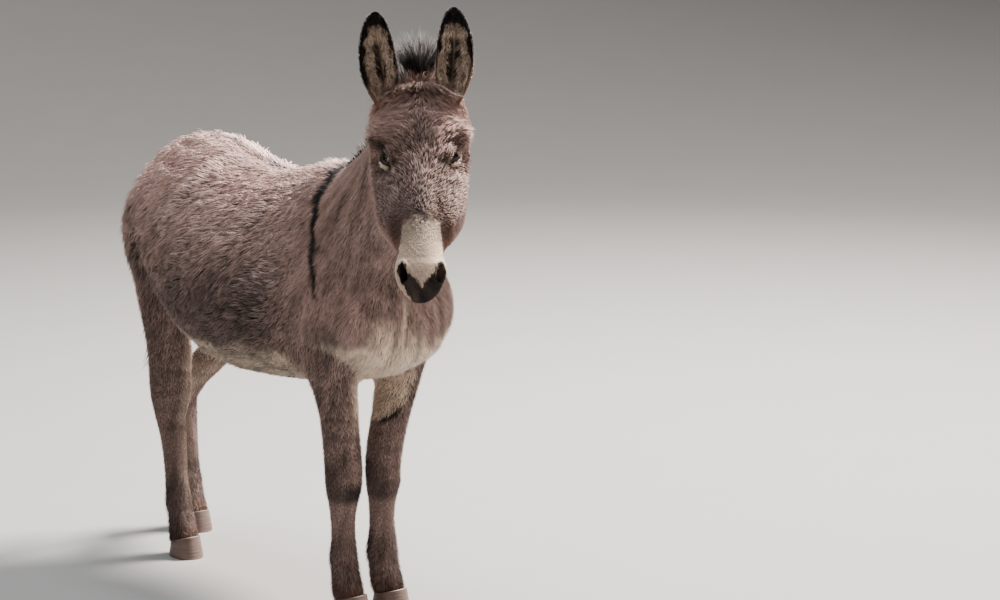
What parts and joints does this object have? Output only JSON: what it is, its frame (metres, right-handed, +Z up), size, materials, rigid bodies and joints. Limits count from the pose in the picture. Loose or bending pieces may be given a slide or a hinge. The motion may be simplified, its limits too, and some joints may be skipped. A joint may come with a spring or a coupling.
{
  "type": "donkey",
  "caption": "Standing donkey in a grey-brown winter coat, life-size, with its head turned to its right and its ears raised.",
  "frame": {"origin": "on the ground under the middle of the animal's bounding box, at the level of the hoof soles", "axes": "+Z up, -Y the way the body faces, +X the donkey's own left"},
  "size_m": [0.512, 1.6256, 1.4707],
  "materials": {
    "coat": "shaggy grey-brown winter coat, cream on the muzzle, breast and belly, with a dark cross over the shoulders",
    "mane": "long dark brown hair of the mane, forelock and tail switch",
    "hoof": "grey-brown horn with faint growth rings",
    "eye": "wet dark brown eyeball with a level dark pupil"
  },
  "bodies": {
    "root": {"head": "coat", "neck": "coat", "trunk": "coat", "foreleg_right": "coat", "foreleg_left": "coat", "hindleg_right": "coat", "hindleg_left": "coat", "ear_right": "coat", "ear_left": "coat", "tail": "coat", "tail_switch": "mane", "mane": "mane", "forelock": "mane", "eye_right": "eye", "eye_left": "eye", "forehoof_right": "hoof", "forehoof_left": "hoof", "hindhoof_right": "hoof", "hindhoof_left": "hoof"}
  },
  "joints": []
}
